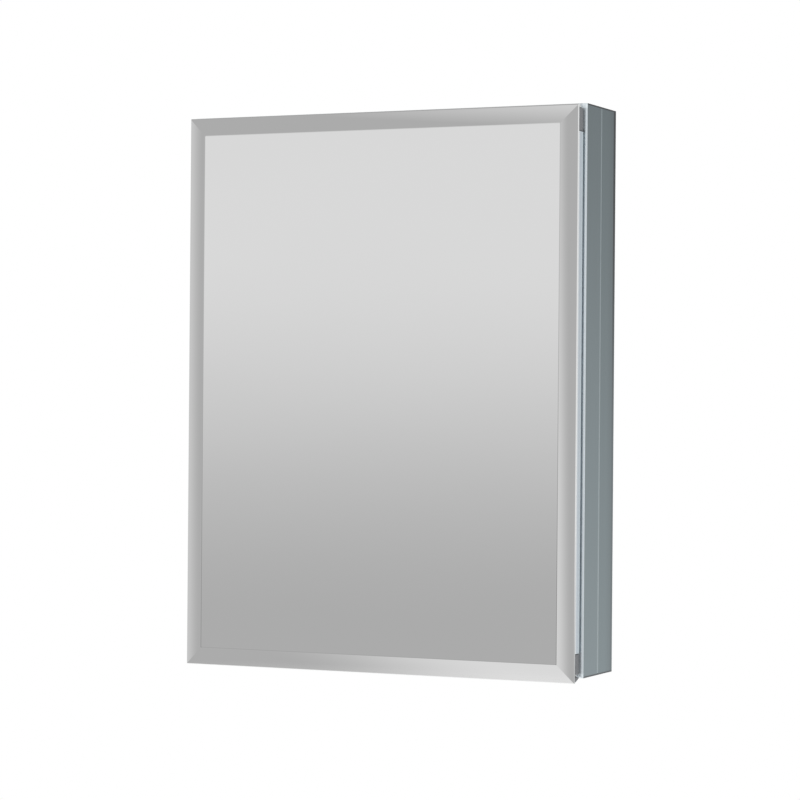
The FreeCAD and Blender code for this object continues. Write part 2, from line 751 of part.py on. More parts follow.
# Mirror glass: flat plate whose border falls away in a wide bevel to a thin rim
mirror_glass = new_body("mirror_glass")
rim_sketch = sketch_xz(mirror_glass, y="places.glass_back_y")
rectangle(rim_sketch, "-places.mirror_x", "places.mirror_x", "places.mirror_low_z", "places.mirror_top_z")
pad(mirror_glass, rim_sketch, "dims.rim_thick")
bevel_foot = sketch_xz(mirror_glass, y="places.glass_back_y - dims.rim_thick")
rectangle(bevel_foot, "-places.mirror_x", "places.mirror_x", "places.mirror_low_z", "places.mirror_top_z")
bevel_head = sketch_xz(mirror_glass, y="places.glass_back_y - dims.glass_thick")
rectangle(bevel_head, "dims.bevel_width - places.mirror_x", "places.mirror_x - dims.bevel_width",
          "places.mirror_low_z + dims.bevel_width", "places.mirror_top_z - dims.bevel_width")
bevel = mirror_glass.newObject("PartDesign::AdditiveLoft", "mirror_bevel")
bevel.Profile = bevel_foot
bevel.Sections = [bevel_head]
bevel.Ruled = True
pieces.append(mirror_glass)


# Mirror tape: foam strips between the door rails and the back of the glass
def frame_level(up):
    return "places.frame_top" if up > 0 else "places.frame_drop"


mirror_tape = new_body("mirror_tape")
tape_sketch = sketch_xz(mirror_tape, y="places.frame_front_y")
for tape_sign in (1, -1):
    upright_x = [signed(tape_sign, "places.frame_x - dims.tape_inset - dims.tape_width"),
                 signed(tape_sign, "places.frame_x - dims.tape_inset")]
    level_z = [signed(tape_sign, f"{frame_level(tape_sign)} - dims.tape_inset - dims.tape_width"),
               signed(tape_sign, f"{frame_level(tape_sign)} - dims.tape_inset")]
    rectangle(tape_sketch, *upright_x,
              "dims.block_leg + dims.pull_rise - places.frame_drop", "places.frame_top - dims.block_leg")
    rectangle(tape_sketch, "-places.frame_x + dims.block_leg", "places.frame_x - dims.block_leg", *level_z)
pad(mirror_tape, tape_sketch, "dims.tape_thick")
pieces.append(mirror_tape)


# Door rails: channels open to the inside, which hold the inner mirror behind their rear flange;
# the lower one slopes up towards the rear as a finger pull
def pull_slope(up):
    return "0" if up > 0 else "dims.pull_rise"


def tenon_middle(up):
    return f"(places.tenon_near + {pull_slope(up)} + places.tenon_far) / 2"


def strike_screw_holes(sketch):
    for height in (1, -1):
        for step in (1, -1):
            z = f"{height} * places.catch_z + {step} * dims.strike_screw_spacing / 2"
            circle(sketch, "places.catch_x", z, "dims.small_screw_radius + dims.fit_gap")


def door_rail(label, sign, upright):
    body = new_body(label)
    sketch = sketch_xy(body) if upright else sketch_yz(body)
    edge = "places.frame_x" if upright else frame_level(sign)
    slope = "0" if upright else pull_slope(sign)

    def place(inward, y):
        across = signed(sign, f"{edge} - ({inward})")
        return (across, y) if upright else (y, across)

    outline(sketch, [
        place(slope, "places.frame_back_y"),
        place("dims.frame_width", "places.frame_back_y"),
        place("dims.frame_width", "places.frame_back_y - dims.frame_wall"),
        place(f"{slope} + dims.frame_wall", "places.frame_back_y - dims.frame_wall"),
        place("dims.frame_wall", "places.frame_front_y + dims.frame_wall"),
        place("dims.frame_width", "places.frame_front_y + dims.frame_wall"),
        place("dims.frame_width", "places.frame_front_y"),
        place("0", "places.frame_front_y"),
    ])
    if upright:
        high = "places.frame_top - dims.block_leg - dims.fit_gap"
        low = "places.frame_drop - dims.block_leg - dims.pull_rise - dims.fit_gap"
        sketch.setExpression(".AttachmentOffset.Base.z", f"({high} - ({low})) / 2")
        pad(body, sketch, f"{high} + {low}", both_ways=True)
    else:
        pad(body, sketch, "2 * (places.frame_x - dims.block_leg - dims.fit_gap)", both_ways=True)
    holes = sketch_xz(body, y="places.frame_back_y + dims.cut_margin")
    for end in (1, -1):
        if upright:
            x = signed(sign, f"places.frame_x - {tenon_middle(1)}")
            z = signed(end, f"{frame_level(end)} - places.tenon_spot - {pull_slope(end)}")
        else:
            x = signed(end, "places.frame_x - places.tenon_spot")
            z = signed(sign, f"{frame_level(sign)} - {tenon_middle(sign)}")
        circle(holes, x, z, "dims.small_screw_radius + dims.fit_gap")
    if upright and sign < 0:
        strike_screw_holes(holes)
    cut(body, holes, "dims.cut_margin + dims.frame_wall + dims.cut_margin", reverse=True)
    pieces.append(body)


door_rail("door_rail_left", -1, True)
door_rail("door_rail_right", 1, True)
door_rail("door_rail_top", 1, False)
door_rail("door_rail_bottom", -1, False)


# Corner blocks: moulded angles with tenons in the door rails; the two on the right carry the pivot bushes
# and are rounded at the rear to swing past the plates, and the lower one is slotted for its tongue
def corner_block(label, across, up, bored):
    body = new_body(label)
    level = frame_level(up)
    height = f"dims.block_leg + {pull_slope(up)}"

    def place(inward_x, inward_z):
        x = signed(across, f"places.frame_x - ({inward_x})")
        z = signed(up, f"{level} - ({inward_z})")
        return x, z

    sketch = sketch_xz(body, y="places.frame_back_y")
    outline(sketch, [
        place("0", "0"),
        place("dims.block_leg", "0"),
        place("dims.block_leg", "dims.frame_width"),
        place("dims.frame_width", "dims.frame_width"),
        place("dims.frame_width", height),
        place("0", height),
    ])
    angle = pad(body, sketch, "dims.frame_depth")

    def outer_corner(edge):
        middle = edge.CenterOfMass
        at_side = abs(abs(middle.x) - places.frame_x) < same_place
        at_end = middle.z > places.frame_top - same_place or middle.z < same_place - places.frame_drop
        return runs_along(edge, 1) and at_side and at_end

    def rear_side(edge):
        middle = edge.CenterOfMass
        at_rear = abs(middle.y - places.frame_back_y) < same_place
        return runs_along(edge, 2) and at_rear and abs(abs(middle.x) - places.frame_x) < same_place

    corner = round_edges(body, angle, "dims.block_corner_radius", outer_corner)
    if bored:
        round_edges(body, corner, "dims.block_swing_radius", rear_side)
    if up < 0:
        pull = sketch_yz(body)
        outline(pull, [
            ("places.frame_back_y + dims.cut_margin", "dims.pull_rise - places.frame_drop"),
            ("places.frame_back_y", "dims.pull_rise - places.frame_drop"),
            ("places.frame_front_y", "-places.frame_drop"),
            ("places.frame_front_y", "-places.frame_drop - dims.cut_margin"),
            ("places.frame_back_y + dims.cut_margin", "-places.frame_drop - dims.cut_margin"),
        ])
        cut(body, pull, "places.frame_x + dims.cut_margin", reverse=across > 0)
    tenons = sketch_xz(body, y="places.frame_back_y - dims.frame_wall - dims.fit_gap")
    near = "places.tenon_near"
    low_near = f"places.tenon_near + {pull_slope(up)}"
    far = "places.tenon_far"
    root = "dims.block_leg - dims.tenon_root"
    tip = "dims.block_leg + dims.tenon_length"
    high_root = f"{height} - dims.tenon_root"
    high_tip = f"{height} + dims.tenon_length"
    outline(tenons, [place(root, low_near), place(tip, low_near), place(tip, far), place(root, far)])
    upright = [place(near, high_root), place(near, high_tip), place(far, high_tip), place(far, high_root)]
    outline(tenons, upright)
    pad(body, tenons, "dims.frame_depth - 2 * dims.frame_wall - 2 * dims.fit_gap")
    slot = sketch_xz(body, y="places.frame_back_y - dims.frame_wall")
    edge = "dims.liner_edge - dims.fit_gap"
    reach = f"{height} + dims.cut_margin"
    outline(slot, [place(edge, edge), place(reach, edge), place(reach, reach), place(edge, reach)])
    cut(body, slot, "dims.liner_thick + 2 * dims.fit_gap", reverse=True)
    pilot = sketch_xz(body, y="places.frame_back_y")
    upright_spot = f"places.tenon_spot + {pull_slope(up)}"
    for spot in (("places.tenon_spot", tenon_middle(up)), (tenon_middle(1), upright_spot)):
        circle(pilot, *place(*spot), "dims.small_screw_radius + dims.run_gap")
    cut(body, pilot, "dims.small_screw_length + dims.cut_margin", reverse=True)
    if bored:
        bore = sketch_xy(body, z=signed(up, "places.seat_z + dims.cut_margin"))
        circle(bore, "places.pivot_x", "places.pivot_y", "dims.bush_radius + dims.run_gap")
        cut(body, bore, "dims.cut_margin + dims.pivot_depth + dims.bush_collar_thick", reverse=up < 0)
    if bored and up < 0:
        tongue_slot = sketch_xz(body, y="places.frame_back_y + dims.cut_margin")
        rectangle(tongue_slot, "places.pivot_x - dims.tongue_spread - dims.slot_gap",
                  "places.frame_x + dims.cut_margin", "-places.plate_top - dims.slot_gap", "-places.seat_z")
        cut(body, tongue_slot, "dims.frame_depth + 2 * dims.cut_margin", reverse=True)
    pieces.append(body)


corner_block("corner_block_top_left", -1, 1, False)
corner_block("corner_block_bottom_left", -1, -1, False)
corner_block("pivot_block_top", 1, 1, True)
corner_block("pivot_block_bottom", 1, -1, True)


# Pivot bushes: flanged plain bearings; the lower collar carries the door on the lower tongue
def pivot_bush(label, sign):
    body = new_body(label)
    sketch = sketch_xz(body, y="places.pivot_y", x="places.pivot_x")
    bore = "dims.pivot_radius + dims.run_gap"
    rim = signed(sign, "places.seat_z + dims.bush_collar_thick")
    seat = signed(sign, "places.seat_z")
    end = signed(sign, "places.seat_z - dims.pivot_depth")
    outline(sketch, [
        (bore, rim),
        ("dims.bush_collar_radius", rim),
        ("dims.bush_collar_radius", seat),
        ("dims.bush_radius", seat),
        ("dims.bush_radius", end),
        (bore, end),
    ])
    turn(body, sketch, "V_Axis")
    pieces.append(body)


pivot_bush("pivot_bush_top", 1)
pivot_bush("pivot_bush_bottom", -1)

# Inner mirror: slides in the channels and in the slots of the corner blocks
inner_mirror = new_body("inner_mirror")
inner_x = "places.frame_x - dims.liner_edge"
inner_low = "dims.liner_edge - places.frame_drop"
inner_high = "places.frame_top - dims.liner_edge"
inner_sketch = sketch_xz(inner_mirror, y="places.frame_back_y - dims.frame_wall - dims.fit_gap")
rectangle(inner_sketch, f"-({inner_x})", inner_x, inner_low, inner_high)
pad(inner_mirror, inner_sketch, "dims.liner_thick")
pieces.append(inner_mirror)

# Strike plates: steel keepers on the left door rail that meet the magnets
strike = new_body("upper_strike_plate")
strike_sketch = sketch_xz(strike, y="places.frame_back_y + dims.strike_thick")
strike_low = "places.catch_z - dims.strike_height / 2"
rectangle(strike_sketch, "places.catch_x - dims.strike_width / 2", "places.catch_x + dims.strike_width / 2",
          strike_low, f"{strike_low} + dims.strike_height")
pad(strike, strike_sketch, "dims.strike_thick")
strike_holes = sketch_xz(strike, y="places.frame_back_y + dims.strike_thick + dims.cut_margin")
for strike_step in (1, -1):
    strike_hole_z = f"places.catch_z + {strike_step} * dims.strike_screw_spacing / 2"
    circle(strike_holes, "places.catch_x", strike_hole_z, "dims.small_screw_radius + dims.fit_gap")
cut(strike, strike_holes, "dims.strike_thick + 2 * dims.cut_margin", reverse=True)
group("strike_plates", [strike, mirrored(strike, (0, 0, 1))])


# Small screws: pan heads that hold the strike plates and the tenons of the corner blocks
def small_screw(label, x, y, z):
    body = new_body(label)
    sketch = sketch_xy(body, z=z, x=x, y=y)
    outline(sketch, [
        ("0", "dims.small_screw_head_height"),
        ("dims.small_screw_head_radius", "dims.small_screw_head_height"),
        ("dims.small_screw_head_radius", "0"),
        ("dims.small_screw_radius", "0"),
        ("dims.small_screw_radius", "dims.small_screw_radius - dims.small_screw_length"),
        ("0", "-dims.small_screw_length"),
    ])
    turn(body, sketch, "V_Axis")
    return body


strike_screws = small_screw(
    "upper_strike_screws", "places.catch_x", "places.frame_back_y + dims.strike_thick",
    "places.catch_z - dims.strike_screw_spacing / 2")
repeat(strike_screws, [strike_screws.Tip], "Z_Axis", "dims.strike_screw_spacing", 2)
group("strike_plate_screws", [strike_screws, mirrored(strike_screws, (0, 0, 1))])
corner_screws = []
for up, height in ((1, "upper"), (-1, "lower")):
    for name, inward_x, inward_z in (("side", tenon_middle(1), f"places.tenon_spot + {pull_slope(up)}"),
                                     ("level", "places.tenon_spot", tenon_middle(up))):
        screw = small_screw(
            f"{height}_{name}_tenon_screw", f"places.frame_x - {inward_x}", "places.frame_back_y",
            signed(up, f"{frame_level(up)} - ({inward_z})"))
        corner_screws += [screw, mirrored(screw, (1, 0, 0))]
group("door_corner_screws", corner_screws)

# Checks and files
doc.recompute()
for item in doc.Objects:
    states = set(item.State)
    if states & {"Invalid", "Error"}:
        raise RuntimeError(f"{item.Label} is {sorted(states)}")
for piece in pieces:
    shape = piece.Shape
    if shape.isNull() or not shape.isValid() or not shape.Solids:
        raise RuntimeError(f"{piece.Label} has no valid solid")
    shape.exportStep(f"parts/{piece.Label}.step")
    box = shape.BoundBox
    print(f"{piece.Label}: {len(shape.Solids)} solids, {shape.Volume:.0f} cubic mm, "
          f"X {box.XMin:.1f} {box.XMax:.1f} Y {box.YMin:.1f} {box.YMax:.1f} Z {box.ZMin:.1f} {box.ZMax:.1f}")
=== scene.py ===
import math

import bmesh
import bpy
from mathutils import Matrix, Vector


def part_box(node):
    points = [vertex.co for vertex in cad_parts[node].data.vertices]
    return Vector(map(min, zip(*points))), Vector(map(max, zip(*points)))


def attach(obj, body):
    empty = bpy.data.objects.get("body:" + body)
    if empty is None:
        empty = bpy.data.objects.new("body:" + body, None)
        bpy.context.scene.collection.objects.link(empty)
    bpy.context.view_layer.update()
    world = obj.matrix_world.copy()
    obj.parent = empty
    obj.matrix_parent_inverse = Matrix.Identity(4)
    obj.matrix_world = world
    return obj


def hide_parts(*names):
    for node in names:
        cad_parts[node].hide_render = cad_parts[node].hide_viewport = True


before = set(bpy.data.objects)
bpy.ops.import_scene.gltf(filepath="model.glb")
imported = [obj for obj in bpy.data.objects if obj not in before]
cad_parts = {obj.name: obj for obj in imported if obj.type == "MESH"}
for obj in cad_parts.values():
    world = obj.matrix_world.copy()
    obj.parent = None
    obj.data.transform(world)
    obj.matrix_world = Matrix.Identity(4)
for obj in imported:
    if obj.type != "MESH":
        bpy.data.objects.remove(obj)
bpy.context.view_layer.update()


# Case rails: hollow aluminium profiles, drawn, mitred and anodised a satin grey, with a painted highlight
# along the groove.
# The front is cut bright, with painted shade near each corner and a painted highlight at the corner itself.
# The mitre edges are darker; painted shade darkens the rails towards the wall, the wall edge most at the
# top.
class Wire:
    """A node's output. Arithmetic on wires and numbers adds Math nodes."""

    def __init__(self, tree, socket=None):
        self.tree = tree
        self.socket = socket

    def node(self, kind, settings=None, values=None, output=0):
        made = self.tree.nodes.new(kind)
        for name, setting in (settings or {}).items():
            setattr(made, name, setting)
        feed(made, values or {})
        return Wire(self.tree, made.outputs[output])

    def math(self, operation, first, second=0.0):
        return self.node("ShaderNodeMath", {"operation": operation}, {0: first, 1: second})

    def __add__(self, other):
        return self.math("ADD", self, other)

    def __radd__(self, other):
        return self.math("ADD", other, self)

    def __sub__(self, other):
        return self.math("SUBTRACT", self, other)

    def __rsub__(self, other):
        return self.math("SUBTRACT", other, self)

    def __mul__(self, other):
        return self.math("MULTIPLY", self, other)

    def __rmul__(self, other):
        return self.math("MULTIPLY", other, self)

    def __abs__(self):
        return self.math("ABSOLUTE", self)


def feed(node, values):
    """Each socket gets its wire, or its plain value."""
    for name, value in values.items():
        if isinstance(value, Wire):
            value.tree.links.new(value.socket, node.inputs[name])
        else:
            node.inputs[name].default_value = value


def new_finish(name):
    """A material, and the wire of its Object coordinates."""
    material = bpy.data.materials.new(name)
    material.use_nodes = True
    return material, Wire(material.node_tree).node("ShaderNodeTexCoord", output="Object")


def set_finish(material, values):
    feed(material.node_tree.nodes["Principled BSDF"], values)


def dress(material, *names):
    for name in names:
        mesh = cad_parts[name].data
        mesh.materials.clear()
        mesh.materials.append(material)


def along(place, axis):
    return place.node("ShaderNodeSeparateXYZ", values={0: place}, output=axis)


def rise(value, low, high):
    """0 below low, 1 above high, smooth between; low above high turns it round."""
    if low > high:
        return 1 - rise(value, high, low)
    return value.node("ShaderNodeMapRange", {"interpolation_type": "SMOOTHSTEP"},
                      {"Value": value, "From Min": low, "From Max": high})


def mix(mask, first, second):
    return mask.node("ShaderNodeMix", {"data_type": "RGBA"}, {0: mask, 6: first, 7: second}, output=2)


def grain(place, stretch=(1, 1, 1), scale=1.0, detail=2.0):
    """Noise of about 0.5, stretched along an axis that has a small number."""
    turned = place.node("ShaderNodeMapping", values={"Vector": place, "Scale": stretch})
    return place.node("ShaderNodeTexNoise", values={"Vector": turned, "Scale": scale, "Detail": detail})


def bump(height, strength, distance):
    values = {"Height": height, "Strength": strength, "Distance": distance}
    return height.node("ShaderNodeBump", values=values, output="Normal")


def grey_anodised(name, stretch, end_axis, end):
    front_grey = (0.235, 0.287, 0.306, 1)
    rear_grey = (0.216, 0.268, 0.286, 1)
    # line_grey is the colour of the painted highlight along the groove.
    line_grey = (0.545, 0.620, 0.640, 1)
    mitre_grey = (0.085, 0.095, 0.103, 1)
    wall_shadow_grey = (0.055, 0.062, 0.068, 1)
    bright_cut = (0.84, 0.91, 0.95, 1)
    # The cut front's colour under painted shade near the corners.
    painted_shade_cut = (0.75, 0.81, 0.85, 1)
    groove_y = -0.0475
    material, place = new_finish(name)
    y, z = along(place, "Y"), along(place, "Z")
    reach = abs(along(place, end_axis))
    lines = grain(place, stretch, detail=3)
    clouds = grain(place, (5, 5, 5))
    behind_groove = rise(y, groove_y - 0.0005, groove_y + 0.0005)
    # A pale painted highlight along the groove, weaker towards the top.
    groove_highlight = rise(abs(y - groove_y), 0.0020, 0.0008) * (1 - 0.49 * rise(z, -0.30, 0.22))
    # Painted shade towards the wall, and a painted shadow along the wall edge that fades towards the bottom.
    painted_wall_shade = 0.17 * rise(y, -0.0280, -0.0060)
    painted_wall_shadow = rise(y, -0.0080, -0.0060) * (0.24 + 0.76 * rise(z, -0.10, 0.20))
    mitre_edge = rise(reach, end - 0.0022, end - 0.0014)
    front = rise(y, -0.0934, -0.0942)
    # Painted shade on the bright-cut front from about 30 mm to 5 mm before each corner, and a painted
    # highlight in the last 5 mm, helped by a lower Metallic.
    painted_light_zone = rise(reach, end - 0.0315, end - 0.0295)
    tip = rise(reach, end - 0.0065, end - 0.0045)
    tone = mix(behind_groove, front_grey, rear_grey)
    tone = mix(groove_highlight, tone, line_grey)
    tone = mix(painted_wall_shade, tone, wall_shadow_grey)
    tone = mix(painted_wall_shadow, tone, wall_shadow_grey)
    tone = mix(mitre_edge, tone, mitre_grey)
    tone = mix(front, tone, mix(painted_light_zone - tip, bright_cut, painted_shade_cut))
    shading = 0.86 + 0.2 * lines + 0.08 * clouds
    shade = place.node("ShaderNodeCombineColor", values={0: shading, 1: shading, 2: shading})
    drawn = place.node("ShaderNodeMix", {"data_type": "RGBA", "blend_type": "MULTIPLY"},
                       {0: 1.0, 6: tone, 7: shade}, output=2)
    set_finish(material, {
        "Base Color": drawn,
        "Metallic": 1 - 0.3 * front * (painted_light_zone + tip),
        "Roughness": 0.30 + 0.10 * lines,
        "Normal": bump(lines, 0.12, 0.0001),
    })
    return material


case_half_width, case_half_height = 0.254, 0.329
upright_grey = grey_anodised("upright_anodised", (900, 900, 5), "Z", case_half_height)
level_grey = grey_anodised("level_anodised", (5, 900, 900), "X", case_half_width)
dress(upright_grey, "side_rail_left", "side_rail_right")
dress(level_grey, "top_rail", "bottom_rail")

# Corner keys: die-cast angles that fill the rails' chambers and pull the mitres together.
# Bare zinc alloy with the sandy skin of the die.
dark_cast, pale_cast = (0.30, 0.30, 0.31, 1), (0.40, 0.40, 0.41, 1)
cast_skin, place = new_finish("cast_skin")
sand = grain(place, scale=1400)
flow = grain(place, scale=60)
set_finish(cast_skin, {
    "Base Color": mix(flow, dark_cast, pale_cast),
    "Metallic": 1.0,
    "Roughness": 0.45 + 0.2 * sand,
    "Normal": bump(sand, 0.4, 0.0001),
})
dress(cast_skin, "front_corner_keys", "rear_corner_keys")

# Back panel: aluminium sheet, powder coated white, let into the rear ledge of the rails.
# The coat has a fine orange peel, and painted shade darkens it towards its edges, in the corners against the
# rails.
clean_white, shaded_white = (0.80, 0.81, 0.81, 1), (0.70, 0.71, 0.71, 1)
panel_half_width, panel_half_height, shade_margin = 0.249, 0.324, 0.024
powder_coat, place = new_finish("white_powder_coat")
peel = grain(place, scale=900)
dust = grain(place, scale=7, detail=4)
# Painted shade in the corners, where the panel meets the rails.
painted_edge_shade = (rise(abs(along(place, "X")), panel_half_width - shade_margin, panel_half_width)
                + rise(abs(along(place, "Z")), panel_half_height - shade_margin, panel_half_height))
set_finish(powder_coat, {
    "Base Color": mix(0.25 * painted_edge_shade + 0.35 * dust, clean_white, shaded_white),
    "Roughness": 0.42 + 0.12 * dust,
    "Normal": bump(peel, 0.25, 0.00008),
})
dress(powder_coat, "back_panel")

# Back panel screws: eight steel screws with flat cross heads, sunk just below the wall face.
# Zinc plated, with a fine spangle over patches of two greys.
dark_zinc, pale_zinc = (0.56, 0.58, 0.60, 1), (0.70, 0.72, 0.73, 1)
zinc, place = new_finish("zinc_plate")
spangle = grain(place, scale=350, detail=3)
patches = grain(place, scale=45)
set_finish(zinc, {
    "Base Color": mix(patches, dark_zinc, pale_zinc),
    "Metallic": 1.0,
    "Roughness": 0.22 + 0.18 * spangle,
    "Normal": bump(spangle, 0.08, 0.00005),
})


def verts_in(geometry):
    return [part for part in geometry if isinstance(part, bmesh.types.BMVert)]


def add_screw(bm, outward, spot, radius, height, shank, length):
    """A cross head standing on spot along outward, with its shank behind it."""
    outline = [(shank, -length + shank), (shank, 0), (radius, 0), (radius, 0.5 * height),
               (0.84 * radius, 0.9 * height), (0.6 * radius, height)]
    arm, arm_half, recess = 0.46 * radius, 0.12 * radius, 0.7 * height
    screw = bmesh.new()
    profile = [screw.verts.new((out, 0, level)) for out, level in outline]
    edges = [screw.edges.new(pair) for pair in zip(profile, profile[1:])]
    bmesh.ops.spin(screw, geom=profile + edges, cent=(0, 0, 0), axis=(0, 0, 1), angle=2 * math.pi, steps=24,
                   use_merge=True)
    bmesh.ops.remove_doubles(screw, verts=screw.verts, dist=1e-7)
    rim = [edge for edge in screw.edges if edge.is_boundary and edge.verts[0].co.z > 0.95 * height]
    foot = [edge for edge in screw.edges if edge.is_boundary and edge.verts[0].co.z < 0]
    tip = bmesh.ops.extrude_edge_only(screw, edges=foot)["geom"]
    bmesh.ops.pointmerge(screw, verts=verts_in(tip), merge_co=(0, 0, -length))
    cross = []
    for turn in range(4):
        spun = Matrix.Rotation(turn * math.pi / 2, 3, "Z")
        for x, y in ((arm, arm_half), (arm_half, arm_half), (arm_half, arm)):
            cross.append(screw.verts.new(spun @ Vector((x, y, height))))
    mouth = [screw.edges.new(pair) for pair in zip(cross[-1:] + cross, cross)]
    bmesh.ops.bridge_loops(screw, edges=rim + mouth)
    walls = bmesh.ops.extrude_edge_only(screw, edges=mouth)["geom"]
    floor_verts = verts_in(walls)
    bmesh.ops.translate(screw, verts=floor_verts, vec=(0, 0, -recess))
    bmesh.ops.edgeloop_fill(screw, edges=[part for part in walls if isinstance(part, bmesh.types.BMEdge)
                                          and all(vert in floor_verts for vert in part.verts)])
    bmesh.ops.recalc_face_normals(screw, faces=screw.faces)
    seated = Matrix.Translation(spot) @ outward.to_matrix().to_4x4()
    bmesh.ops.transform(screw, matrix=seated, verts=screw.verts)
    part_mesh = bpy.data.meshes.new("one_screw")
    screw.to_mesh(part_mesh)
    screw.free()
    bm.from_mesh(part_mesh)
    bpy.data.meshes.remove(part_mesh)


def finish_piece(bm, name, body, slot, node, *materials, sharp=30):
    """The mesh becomes an object in place of its CAD node; edges above sharp degrees are kept."""
    for face in bm.faces:
        face.smooth = True
    for edge in bm.edges:
        edge.smooth = len(edge.link_faces) == 2 and edge.calc_face_angle() < math.radians(sharp)
    mesh = bpy.data.meshes.new(name)
    bm.to_mesh(mesh)
    bm.free()
    for material in materials:
        mesh.materials.append(material)
    piece = bpy.data.objects.new(name, mesh)
    bpy.context.scene.collection.objects.link(piece)
    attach(piece, body)
    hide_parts(node)


rearward = Vector((0, 1, 0)).to_track_quat("Z", "Y")
sunk_seat_y = -0.0015
bm = bmesh.new()
for across in (1, -1):
    for up in (1, -1):
        for x, z in ((0.2445, 0.245), (0.170, 0.3195)):
            add_screw(bm, rearward, (across * x, sunk_seat_y, up * z),
                      radius=0.0028, height=0.0014, shank=0.0015, length=0.0065)
finish_piece(bm, "back_screws", "case", "steel", "back_panel_screws", zinc)

# Back mirror: thin silvered glass bonded to the panel, so the inside of the cabinet looks deeper.
# Its holes clear the wall screws.
wiped_silver, clear_silver = (0.890, 0.890, 0.890, 1), (0.915, 0.915, 0.915, 1)
silvering, place = new_finish("silvered_glass")
wipe = grain(place, (3, 3, 9), detail=3)
set_finish(silvering, {
    "Base Color": mix(wipe, wiped_silver, clear_silver),
    "Metallic": 1.0,
    "Roughness": 0.004 + 0.012 * wipe,
})
dress(silvering, "back_mirror")

# Shelves: clear float glass with polished front edges, resting on four pins each.
# The glass is faintly green, deepest along the edges.
clear_glass, edge_green = (0.955, 0.985, 0.975, 1), (0.66, 0.84, 0.79, 1)
shelf_front_y, shelf_half_width, edge_depth = -0.0862, 0.2377, 0.0012
shelf_glass, place = new_finish("shelf_glass")
polish = grain(place, (40, 400, 400))
edge_tint = (rise(along(place, "Y"), shelf_front_y + edge_depth, shelf_front_y)
             + rise(abs(along(place, "X")), shelf_half_width - edge_depth, shelf_half_width))
set_finish(shelf_glass, {
    "Base Color": mix(edge_tint, clear_glass, edge_green),
    "Roughness": 0.01 + 0.05 * polish * edge_tint,
    "IOR": 1.5,
    "Transmission Weight": 1.0,
})
dress(shelf_glass, "shelf_lower", "shelf_middle", "shelf_upper")

# Shelf pins: turned steel pins pushed into the rows of holes in the side rails, with flats under the glass.
# Nickel plated, with fine turning lines round the nose.
dark_nickel, pale_nickel = (0.60, 0.59, 0.56, 1), (0.72, 0.71, 0.68, 1)
nickel, place = new_finish("turned_nickel")
turning = grain(place, (2500, 60, 60))
set_finish(nickel, {
    "Base Color": mix(turning, dark_nickel, pale_nickel),
    "Metallic": 1.0,
    "Roughness": 0.16 + 0.14 * turning,
    "Normal": bump(turning, 0.1, 0.00005),
})
dress(nickel, "shelf_pins")

# Pivot plates and pins: bent strip steel, screwed to the front of the case; each tongue carries a pin that
# is riveted flush. Zinc plated and slightly brushed. The nose of the lower tongue, which carries the door,
# is darkened by painted shade where it sits in the block's slot.
hazy_plate, clear_plate = (0.80, 0.83, 0.85, 1), (0.90, 0.92, 0.93, 1)
slot_shade_grey = (0.26, 0.26, 0.26, 1)
pale_steel, place = new_finish("pale_zinc")
brush = grain(place, (60, 1500, 1500), detail=3)
haze = grain(place, scale=90)
# Painted shade on the lower tongue's nose, where it sits in the block's slot.
slot_shade = rise(along(place, "Y"), -0.1000, -0.1060) * rise(along(place, "Z"), 0.0, -0.30)
set_finish(pale_steel, {
    "Base Color": mix(slot_shade, mix(haze, hazy_plate, clear_plate), slot_shade_grey),
    "Metallic": 1.0,
    "Roughness": 0.26 + 0.14 * brush,
    "Normal": bump(brush, 0.1, 0.00005),
})
dress(pale_steel, "pivot_plate_top", "pivot_plate_bottom", "pivot_pin_top", "pivot_pin_bottom")

# Pivot plate screws: low pan heads, two in each plate, threaded into the corner keys.
# The same zinc plating as the back screws.
forward = Vector((0, -1, 0)).to_track_quat("Z", "Y")
plate_face_y, plate_height = -0.0978, 0.321
bm = bmesh.new()
for up in (1, -1):
    for x in (0.2232, 0.2372):
        add_screw(bm, forward, (x, plate_face_y, up * plate_height),
                  radius=0.0034, height=0.0008, shank=0.0018, length=0.012)
finish_piece(bm, "plate_screws", "case", "steel", "pivot_plate_screws", zinc)

# Catch cups and magnets: flanged nylon cups pressed into the left rail, each with a round magnet.
# The nylon is off-white with a fine moulded grain, and the magnet's face is nickel.
fresh_nylon, aged_nylon = (0.80, 0.80, 0.77, 1), (0.72, 0.72, 0.69, 1)
scuffed_nickel, bright_nickel = (0.50, 0.49, 0.47, 1), (0.66, 0.65, 0.62, 1)
nylon, place = new_finish("white_nylon")
mould = grain(place, scale=2200)
ageing = grain(place, scale=70)
set_finish(nylon, {
    "Base Color": mix(ageing, fresh_nylon, aged_nylon),
    "Roughness": 0.38 + 0.15 * mould,
    "Normal": bump(mould, 0.15, 0.00005),
})
dress(nylon, "catch_cups")
magnet_plate, place = new_finish("magnet_nickel")
scuffs = grain(place, scale=800, detail=4)
set_finish(magnet_plate, {
    "Base Color": mix(scuffs, scuffed_nickel, bright_nickel),
    "Metallic": 1.0,
    "Roughness": 0.2 + 0.25 * scuffs,
})
dress(magnet_plate, "catch_magnets")

# Bumpers: soft domes bonded to the front of the case, which the closing door comes to rest against.
# Matte grey rubber.
dark_rubber, pale_rubber = (0.42, 0.43, 0.43, 1), (0.52, 0.53, 0.53, 1)
rubber, place = new_finish("soft_rubber")
bloom = grain(place, scale=600, detail=3)
set_finish(rubber, {
    "Base Color": mix(bloom, dark_rubber, pale_rubber),
    "Roughness": 0.6 + 0.2 * bloom,
    "Normal": bump(bloom, 0.2, 0.00005),
})
dress(rubber, "door_bumpers")
